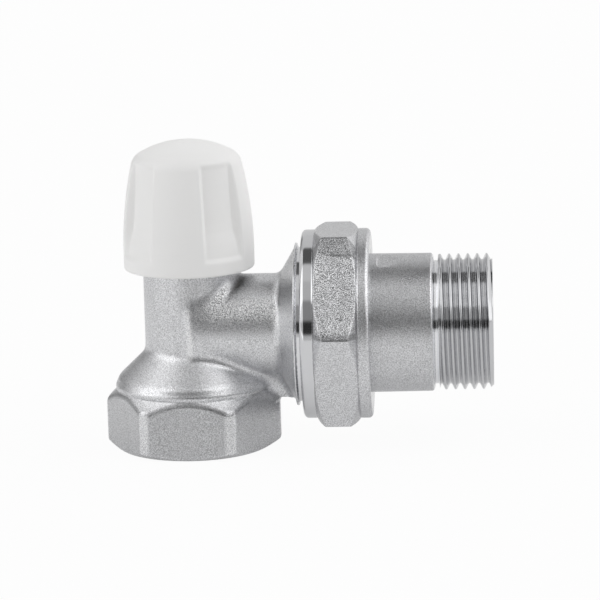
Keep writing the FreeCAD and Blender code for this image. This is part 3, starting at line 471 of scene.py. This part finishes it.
def surface_object(name, points, faces, material, normals=None, machined=None, tone=None):
    """A smooth-shaded mesh object from points in millimetres and rows of corner numbers."""
    mesh = bpy.data.meshes.new(name)
    mesh.vertices.add(len(points))
    mesh.vertices.foreach_set("co", (np.asarray(points) * MM).astype(np.float32).ravel())
    mesh.loops.add(faces.size)
    mesh.loops.foreach_set("vertex_index", faces.astype(np.int32).ravel())
    mesh.polygons.add(len(faces))
    mesh.polygons.foreach_set("loop_start", np.arange(0, faces.size, faces.shape[1], dtype=np.int32))
    mesh.polygons.foreach_set("use_smooth", np.ones(len(faces), bool))
    mesh.update(calc_edges=True)
    mesh.validate()
    for label, entries in (("machined", machined), ("tone", tone)):
        if entries is not None:
            mark = mesh.attributes.new(label, "FLOAT", "POINT")
            mark.data.foreach_set("value", np.asarray(entries, np.float32))
    if normals is not None:
        lengths = np.linalg.norm(normals, axis=1, keepdims=True)
        mesh.normals_split_custom_set_from_vertices((normals / np.maximum(lengths, 1e-9)).tolist())
    mesh.materials.append(material)
    made = bpy.data.objects.new(name, mesh)
    stage.collection.objects.link(made)
    return made


# The plating's finish. Tumbling leaves a skin of tiny dents that sparkles, in two sizes of grain;
# turned faces and threads are bright. Lumps are counted by the metre, the dents' depth is in metres.
FINE_LUMPS = 9000.0
COARSE_LUMPS = 5600.0
CLOUD_LUMPS = 160.0
DENT_DEPTH = 0.00005
TUMBLED_ROUGHNESS = 0.29
BRIGHT_ROUGHNESS = 0.10
CLOUD_ROUGHNESS = 0.08
SPECKLE_CONTRAST = 5.0
SPECKLE_STRENGTH = 0.62
NICKEL_TINT = (0.99, 0.995, 1.015)
OBJECT_COORDINATES = 3
FACTOR = 2


def plated(name, tone_low, tone_high):
    """Metal whose attribute machined goes from 0, tumbled, to 1, turned bright, and below 0 where the
    grain is stronger. Its attribute tone multiplies the colour: 1 is clean plating, less is greyer, more is
    lighter; on the body, the nut and the tail it also carries painted light and shade."""
    material = bpy.data.materials.new(name)
    skin = Recipe(material)
    where = skin.node("TexCoord", output=OBJECT_COORDINATES)
    machined = skin.node("Attribute", {"attribute_name": "machined"}, output=FACTOR)
    tone_mark = skin.node("Attribute", {"attribute_name": "tone"}, output=FACTOR)
    fine = skin.noise(where, FINE_LUMPS, 0.0)
    coarse = skin.noise(where, COARSE_LUMPS, 0.0)
    cloud = skin.noise(where, CLOUD_LUMPS)
    grain = fine * 0.5 + coarse * 0.5
    dents = skin.node("Bump", None, {"Height": grain * (1.0 - machined), "Strength": 1.0,
                                     "Distance": DENT_DEPTH})
    satin = TUMBLED_ROUGHNESS + (cloud - 0.5) * CLOUD_ROUGHNESS
    roughness = satin + machined.clamped() * (BRIGHT_ROUGHNESS - satin)
    low, high = ((*[tone * tint for tint in NICKEL_TINT], 1.0) for tone in (tone_low, tone_high))
    speckle = ((grain - 0.5) * SPECKLE_CONTRAST + 0.5).clamped()
    shade = tone_mark * (1.0 + (speckle - 0.5) * (1.0 - machined) * SPECKLE_STRENGTH)
    colour = skin.node("VectorMath", {"operation": "SCALE"}, {"Vector": skin.mix(cloud, low, high),
                                                              "Scale": shade})
    metal = skin.node("BsdfPrincipled", None, {"Base Color": colour, "Metallic": 1.0,
                                               "Roughness": roughness, "Normal": dents})
    skin.node("OutputMaterial", None, {"Surface": metal})
    return material


def ramp(value, start, end):
    """0 at start and before it, 1 at end and after it, straight between them."""
    return np.clip((value - start) / (end - start), 0.0, 1.0)


def bell(value, centre, width):
    """1 at the centre, falling off as a bell curve, to a third of that one width away."""
    return np.exp(-((value - centre) / width) ** 2)


COARSE_GRID = 0.46
FINE_GRID = 0.25
body_points, body_quads = skin_of(
    body_field, grid_line((-17.5, 17.6, COARSE_GRID), (17.6, 29.7, FINE_GRID)),
    grid_line((-17.5, 17.5, COARSE_GRID)), grid_line((-0.5, 14.4, FINE_GRID), (14.4, 40.5, COARSE_GRID)))
body_normals = slope_of(body_field, body_points, 0.06)
body_x, body_y, body_z = body_points.T
body_from_spindle = np.hypot(body_x, body_y)
body_from_branch = np.hypot(body_y, body_z - AXIS_HEIGHT)

# Turned bright: the lip and all beyond it, the inlet's bore and the boss's lower face. The branch
# has the strongest grain where its front looks up by 27 degrees.
bright_lip = ramp(body_x, 20.65, 20.75)
bright_bore = (body_from_spindle < 13.3) * (body_z < 11.5)
bright_foot = ramp(body_z, 0.15, 0.05)
body_machined = np.maximum(np.maximum(bright_lip, bright_bore), bright_foot)
looks_up = np.degrees(np.arctan2(body_normals[:, 2], -body_normals[:, 1]))
strong_grain = bell(looks_up, 27.0, 11.0) * ramp(body_x, 0.9, 1.3) * (body_x < 17.0)
body_machined -= 1.5 * strong_grain * (body_from_branch < 10.6)

# Tones: the boss is greyer, with a painted highlight on its corners; painted shade lines follow its
# chamfer and the crease above the bead in front. Painted light lightens the flange and the neck-branch
# seam.
grey_boss = 0.15 * ramp(body_z, 11.0, 10.0)
# Painted highlight: the boss's turned corners are lightened in colour.
painted_corner_highlight = 0.27 * ((body_from_spindle > 16.93) & (body_z > 1.1) & (body_z < 9.6))
to_chamfer = (body_from_spindle - BOSS_CORNER + body_z - BOSS_SHOULDER) * math.sqrt(0.5)
on_flats = (beyond_flats(body_x, body_y) > -0.4) * (body_z > 6.0)
# Painted shade: a dark line along the top edge of the flats, under the chamfer.
painted_chamfer_shade = 0.26 * bell(to_chamfer, 0.0, 0.32) * on_flats
off_front = np.abs(np.degrees(np.arctan2(body_x, -body_y)))
# Painted shade in the crease between the shoulder and the bead, in front.
painted_crease_shade = 0.34 * bell(body_z, 13.35, 0.38) * ramp(off_front, 22.0, 14.0)
# Painted light on the flange's cone and its fillet.
painted_flange_light = 0.16 * ramp(body_x, 16.8, 18.3)
at_seam = (body_y < -8.6) * (np.abs(body_z - AXIS_HEIGHT) < 4.8)
# Painted highlight along the seam where the neck meets the branch's front end.
painted_seam_highlight = 0.36 * bell(body_x, 0.35, 0.45) * at_seam
body_tone = 1.0 - grey_boss + painted_corner_highlight - painted_chamfer_shade - painted_crease_shade + painted_flange_light + painted_seam_highlight

body_plate = plated("body_plate", 0.68, 0.75)
body_skin = surface_object("body_skin", body_points, body_quads, body_plate, body_normals,
                           body_machined, body_tone)
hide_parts("valve_body")
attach(body_skin, "root")


# Union nut: turned from hexagon bar, with a rounded collar at each side of the hexagon and 30
# degree chamfers on its corners; plated after turning. Its thread is the body's, one size up.
NUT_APOTHEM = 18.5
NUT_TURN = math.radians(-90.0 + 27.4)
NUT_CHAMFER = 18.62
HEXAGON_START = 24.6
HEXAGON_END = 32.75
FRONT_COLLAR = 18.35
BACK_COLLAR = 18.46
NUT_THREAD = 16.62
NUT_BORE = 13.6
NUT_FACET = 147.4
NUT_FACET_WIDTH = 21.4
SHAPED_OUTSIDE = 40.0
SHAPED_INSIDE = -1.0


def turned_skin(profile, radius_at, count, centre=(0.0, 0.0, AXIS_HEIGHT), along="x"):
    """A closed profile carried round an axis: each profile point is (place, radius), and radius_at
    changes the radius with the angle. The first and last profile points are joined."""
    angles = np.linspace(0.0, 2 * math.pi, count, endpoint=False)
    place, radius = np.asarray(profile, float).T
    turn_grid, place_grid = np.meshgrid(angles, place, indexing="ij")
    radius_grid = radius_at(turn_grid, place_grid, np.broadcast_to(radius, place_grid.shape))
    u, v = radius_grid * np.cos(turn_grid), radius_grid * np.sin(turn_grid)
    if along == "x":
        points = np.stack([place_grid + centre[0], u + centre[1], v + centre[2]], -1)
    else:
        points = np.stack([u + centre[0], v + centre[1], place_grid + centre[2]], -1)
    rows, columns = place_grid.shape
    index = np.arange(rows * columns).reshape(rows, columns)
    after_row, after_column = np.roll(index, -1, 0), np.roll(index, -1, 1)
    both = np.roll(after_row, -1, 1)
    faces = np.stack([index, after_row, both, after_column], -1).reshape(-1, 4)
    return points.reshape(-1, 3), faces


def run(start, end, spacing, first=False):
    """Points on a straight stretch of a profile, about evenly spaced, its first only if asked."""
    start, end = np.asarray(start, float), np.asarray(end, float)
    count = max(1, int(round(np.linalg.norm(end - start) / spacing)))
    shares = np.linspace(0.0, 1.0, count + 1)[0 if first else 1:]
    return [tuple(start + share * (end - start)) for share in shares]


def rounded(centre, radii, start, end, count):
    """An arc's points as (place, radius), for a centre given as (radius, place)."""
    return [(place, radius) for radius, place in arc(centre, radii, start, end, count)]


def stretch(mark, start, end, count):
    """Evenly spaced points whose radius is a mark: SHAPED_OUTSIDE or SHAPED_INSIDE, for which a
    piece's own function gives the radius by place and angle."""
    return [(place, mark) for place in np.linspace(start, end, count)]


def nut_radius(angle, place, radius):
    """Outside: hexagon cut by the two chamfer cones, collars beside it. Inside: the union thread,
    which runs out before the flange."""
    from_flat = np.mod(angle - NUT_TURN, math.pi / 3) - math.pi / 6
    flat = NUT_APOTHEM / np.cos(from_flat)
    next_flat = NUT_APOTHEM / np.cos(math.pi / 3 - np.abs(from_flat))
    hexagon = soft_least(flat, next_flat, 0.25)
    hexagon = soft_least(hexagon, NUT_CHAMFER + (place - HEXAGON_START) * math.sqrt(3), 0.3)
    hexagon = soft_least(hexagon, NUT_CHAMFER + (HEXAGON_END - place) * math.sqrt(3), 0.3)
    thread = NUT_THREAD - UNION_DEPTH * thread_wave(place / UNION_PITCH - angle / (2 * math.pi))
    thread = thread + (NUT_THREAD - thread) * ramp(place, 30.2, 30.7)
    return np.where(radius == SHAPED_OUTSIDE, hexagon, np.where(radius == SHAPED_INSIDE, thread, radius))


nut_profile = [
    (21.9, 17.42), *rounded((17.45, 22.8), (0.9, 0.9), 270, 360, 9),
    *run((22.8, FRONT_COLLAR), (24.45, FRONT_COLLAR), 0.3), (24.5, 18.28), (24.56, 18.28),
    *stretch(SHAPED_OUTSIDE, HEXAGON_START, HEXAGON_END, 61),
    (32.8, 18.32), (32.86, 18.32), (32.92, BACK_COLLAR),
    *run((32.92, BACK_COLLAR), (34.4, BACK_COLLAR), 0.4),
    *rounded((17.66, 34.4), (0.8, 0.8), 10, 90, 8),
    *run((35.2, 17.66), (35.2, 13.9), 0.8), (34.9, NUT_BORE), *run((34.9, NUT_BORE), (32.5, NUT_BORE), 0.7),
    *run((32.5, NUT_BORE), (32.5, NUT_THREAD), 0.8), *run((32.5, NUT_THREAD), (30.8, NUT_THREAD), 0.6),
    *stretch(SHAPED_INSIDE, 30.7, 22.8, 60), (22.7, NUT_THREAD)]
nut_points, nut_faces = turned_skin(nut_profile, nut_radius, 480)
nut_x, nut_y, nut_z = nut_points.T
nut_from_axis = np.hypot(nut_y, nut_z - AXIS_HEIGHT)

# The facet that looks at the camera has the coarsest grain and is darkened with painted shade, with
# strips of painted shade along its two edges, a scored line beside one of them and a small dent. It is
# measured across from 0 to 1 and along in place.
off_facet = np.degrees(np.arctan2(nut_z - AXIS_HEIGHT, nut_y)) - NUT_FACET
across_facet = 0.5 + np.tan(np.radians(np.clip(off_facet, -40.0, 40.0))) / (2.0 * math.tan(math.pi / 6))
on_facet = (nut_x > 24.7) & (nut_x < 32.7) & (np.abs(off_facet) < 29.9)
# Painted shade: strips along the facet's two edges are darkened.
painted_edge_shade = 0.26 * ramp(across_facet, 0.185, 0.165) + 0.34 * ramp(across_facet, 0.92, 0.95)
scored_line = 0.40 * (np.abs(across_facet - 0.18) < 0.016) * (nut_x > 27.8)
dent = 0.45 * (np.hypot((across_facet - 0.79) * NUT_FACET_WIDTH, nut_x - 29.9) < 0.35)
nut_machined = np.maximum(ramp(nut_x, 24.58, 24.54), nut_from_axis < 17.6)
nut_machined = nut_machined - 1.1 * on_facet * (np.abs(off_facet) < 29.0)
# The facet's own darkening of 0.13 and the edge strips are painted shade; the scored line and the dent are
# marks.
nut_tone = 1.0 + 0.06 * (nut_machined > 0.5) - on_facet * (0.13 + painted_edge_shade + scored_line + dent)
nut_plate = plated("nut_plate", 0.66, 0.72)
nut_skin = surface_object("nut_skin", nut_points, nut_faces, nut_plate, machined=nut_machined,
                          tone=nut_tone)
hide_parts("union_nut")
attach(nut_skin, "nut")


# Tail piece: a turned tube that the nut's flange pulls in by its collar. Its free end has a
# bright undercut and the radiator's pipe thread; two lugs inside take a stepped spanner.
TAIL_CREST = 13.2205
TAIL_THREAD_START = 48.35
TAIL_END = 58.8
TAIL_THREAD_PHASE = 0.57
TAIL_TUBE = 13.5
TAIL_SHOULDER = 12.85
TAIL_BORE = 9.9
END_CHAMFER = 0.9
LUG_RADIUS = 8.1
LUG_HALF = math.radians(13.0)
LUG_START = 38.8
LUG_END = 44.8
FLAT_TURN = math.radians(180.0 - 76.0)
FLAT_DEPTH = 0.3
FLAT_START = 36.6
FLAT_END = 38.8


def tail_radius(angle, place, radius):
    """Outside: the tube, cut by one small stamped flat that runs out slowly, and the thread at its
    end. Inside: the bore, with its two lugs."""
    turns = (place - TAIL_THREAD_START) / PIPE_PITCH - angle / (2 * math.pi) + TAIL_THREAD_PHASE
    started = ramp(place, TAIL_THREAD_START - 0.25, TAIL_THREAD_START + 0.25)
    thread = TAIL_CREST - PIPE_DEPTH * thread_wave(turns) * started
    thread = np.minimum(thread, TAIL_CREST - END_CHAMFER + np.maximum(TAIL_END - place, 0.0))
    flat = (TAIL_TUBE - FLAT_DEPTH) / np.cos(np.clip(angle - FLAT_TURN, -1.2, 1.2))
    flat = flat + ramp(place, FLAT_START, FLAT_START - 0.15) + 0.35 * ramp(place, FLAT_END, FLAT_END + 2.6)
    tube = np.where((place > 35.9) & (place < 46.0), np.minimum(radius, flat), radius)
    lug = (np.cos(2 * angle) > math.cos(2 * LUG_HALF)) & (place > LUG_START) & (place < LUG_END)
    bore = np.where(lug, LUG_RADIUS, TAIL_BORE)
    return np.where(radius == SHAPED_OUTSIDE, thread, np.where(radius == SHAPED_INSIDE, bore, tube))


tail_profile = [
    (23.25, TAIL_BORE), (23.25, 12.25), (23.85, TAIL_SHOULDER),
    *run((23.85, TAIL_SHOULDER), (25.1, TAIL_SHOULDER), 0.6), (25.1, 11.06), (27.04, 11.06),
    (27.04, TAIL_SHOULDER), *run((27.04, TAIL_SHOULDER), (29.25, TAIL_SHOULDER), 0.8),
    (29.25, 14.7), (29.45, 14.9), (32.05, 14.9), (32.25, 14.7), (32.25, 13.7), (32.4, TAIL_TUBE),
    *run((32.4, TAIL_TUBE), (46.75, 13.41), 0.15), (47.0, 13.38), (47.3, 13.0), (47.4, 12.5),
    (47.45, 12.0), (48.2, 12.0), *stretch(SHAPED_OUTSIDE, 48.3, 58.75, 184),
    (TAIL_END, 12.2), (TAIL_END, 10.5), (58.2, TAIL_BORE), *stretch(SHAPED_INSIDE, 58.1, 23.4, 70)]
tail_points, tail_faces = turned_skin(tail_profile, tail_radius, 256)
tail_x, tail_y, tail_z = tail_points.T
tail_from_axis = np.hypot(tail_y, tail_z - AXIS_HEIGHT)

# The tube keeps its grain up to the undercut; the undercut, the thread, the nose and the bore are
# bright, and the undercut's colour is lightened further as a painted highlight.
tail_machined = ramp(tail_x, 47.05, 47.15) * 1.35 - 0.35
tail_machined = np.maximum(tail_machined, (tail_from_axis < 12.9) * 1.0)
# Painted highlight: the undercut's colour is lightened.
tail_tone_painted_highlight = 1.0 + 0.42 * ((tail_x > 47.25) & (tail_x < 48.4))
tail_plate = plated("tail_plate", 0.62, 0.68)
tail_skin = surface_object("tail_skin", tail_points, tail_faces, tail_plate, machined=tail_machined,
                           tone=tail_tone_painted_highlight)
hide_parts("tail_piece")
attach(tail_skin, "tail")


# Protective cap: one white moulding with four finger flutes, run in through its dome. It screws
# on the headwork by the sleeve inside and takes the place of a hand wheel.
CAP_RIM = 35.5
CAP_TOP = 60.4
CAP_RADIUS = 12.69
CAP_CROWN = 57.05
CAP_CORNER_LOW = (10.68, 56.1)
CAP_CORNER_HIGH = (8.6, 58.25)
SIDE_BULGE = 78.0
CORNER_BULGE = 3.4
DOME_BULGE = 18.3
SLEEVE_BORE = 7.6
SLEEVE_RADIUS = 9.1
SLEEVE_RIM = 46.0
CAP_WALL = 10.99
CAP_TURN = math.radians(38.6)
FLUTE_HALF = math.radians(20.3)
FLUTE_BACK = 1.75
FLUTE_HEIGHTS = (35.0, 37.9, 38.2, 38.9, 41.7, 43.7, 45.6, 47.6, 49.6, 51.6, 53.7, 56.0, 57.0, 61.0)
FLUTE_DEPTHS = (0.0, 0.0, 0.06, 0.50, 1.02, 1.48, 1.62, 1.58, 1.46, 1.30, 1.05, 0.60, 0.0, 0.0)
TINY = 1e-4


def cap_radius(angle, place, radius):
    """The cap's own radius less the flutes, whose depth follows the height; behind each flute the
    wall inside stands in by as much."""
    off_flute = np.abs(np.mod(angle - CAP_TURN + math.pi / 4, math.pi / 2) - math.pi / 4)
    share = np.clip((FLUTE_HALF + 0.028 - off_flute) / 0.085, 0.0, 1.0)
    share = share * share * (3.0 - 2.0 * share)
    outside = radius - np.interp(place, FLUTE_HEIGHTS, FLUTE_DEPTHS) * share
    back_share = np.clip((FLUTE_HALF + 0.10 - off_flute) / 0.06, 0.0, 1.0)
    inside = CAP_WALL - ramp(place, 37.6, 40.6) * FLUTE_BACK * back_share
    return np.where(radius == SHAPED_INSIDE, inside, np.where(radius > 8.0, outside, radius))


def bulge(start, end, radius, normal, shares):
    """Points as (place, radius) on the arc of that radius from start to end, which are given as
    (radius, place): its centre lies behind the chord's middle, against the normal."""
    chord = np.array([start, end])
    half = float(np.linalg.norm(chord[1] - chord[0])) / 2
    normal = np.array(normal) / math.hypot(*normal)
    centre = chord.mean(0) - normal * math.sqrt(radius ** 2 - half ** 2)
    first, last = np.arctan2(*(chord - centre).T[::-1])
    angles = first + (last - first) * shares
    return [(centre[1] + radius * math.sin(t), centre[0] + radius * math.cos(t)) for t in angles]


cap_side = bulge((CAP_RADIUS, 40.0), CAP_CORNER_LOW, SIDE_BULGE, (15.7, 1.97), np.linspace(0.0, 1.0, 60))
cap_corner = bulge(CAP_CORNER_LOW, CAP_CORNER_HIGH, CORNER_BULGE, (2.15, 2.08),
                   np.linspace(0.0, 1.0, 12)[1:])
cap_dome = [(CAP_TOP - DOME_BULGE + math.sqrt(DOME_BULGE ** 2 - r * r), max(r, TINY))
            for r in np.linspace(CAP_CORNER_HIGH[0], 0.0, 24)[1:]]
cap_profile = [
    (CAP_RIM, 11.2), (CAP_RIM, 12.4), (35.55, 12.55), (35.7, 12.66), (35.9, CAP_RADIUS),
    *run((35.9, CAP_RADIUS), (39.8, CAP_RADIUS), 0.2), *cap_side, *cap_corner, *cap_dome,
    (CAP_CROWN, TINY), (CAP_CROWN, SLEEVE_BORE),
    *run((CAP_CROWN, SLEEVE_BORE), (SLEEVE_RIM, SLEEVE_BORE), 0.5),
    (SLEEVE_RIM, SLEEVE_RADIUS), *run((SLEEVE_RIM, SLEEVE_RADIUS), (50.0, SLEEVE_RADIUS), 0.7),
    (50.0, 9.3), (49.0, 9.45), *stretch(SHAPED_INSIDE, 48.0, 35.9, 40)]
cap_points, cap_faces = turned_skin(cap_profile, cap_radius, 480, (0.0, 0.0, 0.0), "z")
cap_faces = cap_faces[:, ::-1]

white_moulding = bpy.data.materials.new("white_moulding")
moulding = Recipe(white_moulding)
moulding_place = moulding.node("TexCoord", output=OBJECT_COORDINATES)
moulding_tint = moulding.mix(moulding.noise(moulding_place, 60.0), (0.955, 0.952, 0.945, 1.0),
                             (0.97, 0.967, 0.96, 1.0))
moulding_bump = moulding.node("Bump", None, {"Height": moulding.noise(moulding_place, 2600.0, 2.0, 0.6),
                                             "Strength": 0.35, "Distance": 0.00003})
moulded = moulding.node("BsdfPrincipled", None, {"Base Color": moulding_tint, "Roughness": 0.42,
                                                 "Normal": moulding_bump})
moulding.node("OutputMaterial", None, {"Surface": moulded})
cap_skin = surface_object("cap_skin", cap_points, cap_faces, white_moulding)
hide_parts("protective_cap")
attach(cap_skin, "cap")


# Headwork, spindle, disc and their seals: turned brass, rubber rings and spring wire, all hidden
# until the cap is off or the union is open.
FAINT_BUMP = 0.00003


def inner_finish(name, dark, light, metallic, roughness, cloud_lumps, bump_lumps, roughness_spread):
    """A finish clouded between two tones, with a faint bump; the cloud roughens it as well."""
    material = bpy.data.materials.new(name)
    skin = Recipe(material)
    where = skin.node("TexCoord", output=OBJECT_COORDINATES)
    cloud = skin.noise(where, cloud_lumps)
    bump = skin.node("Bump", None, {"Height": skin.noise(where, bump_lumps), "Strength": 0.3,
                                    "Distance": FAINT_BUMP})
    surface = skin.node("BsdfPrincipled", None, {
        "Base Color": skin.mix(cloud, (*dark, 1.0), (*light, 1.0)), "Metallic": metallic,
        "Roughness": roughness + cloud * roughness_spread, "Normal": bump})
    skin.node("OutputMaterial", None, {"Surface": surface})
    return material


bare_brass = inner_finish("bare_brass", (0.72, 0.52, 0.24), (0.80, 0.61, 0.31), 1.0, 0.2,
                          300.0, 2500.0, 0.12)
seal_rubber = inner_finish("seal_rubber", (0.025, 0.025, 0.025), (0.03125, 0.03125, 0.03125), 0.0, 0.5,
                           900.0, 900.0, 0.1)
spring_wire = inner_finish("spring_wire", (0.5, 0.5, 0.51), (0.625, 0.625, 0.6375), 1.0, 0.2,
                           900.0, 900.0, 0.1)
hidden_finishes = (
    (bare_brass, ("headwork_body", "regulating_spindle", "valve_disc", "washer_nut")),
    (seal_rubber, ("headwork_o_ring", "spindle_o_ring_lower", "spindle_o_ring_upper", "seat_washer",
                   "cap_gasket", "tail_o_ring")),
    (spring_wire, ("spindle_circlip", "disc_clip")),
)
for finish, names in hidden_finishes:
    for name in names:
        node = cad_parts[name]
        node.data.materials.clear()
        node.data.materials.append(finish)
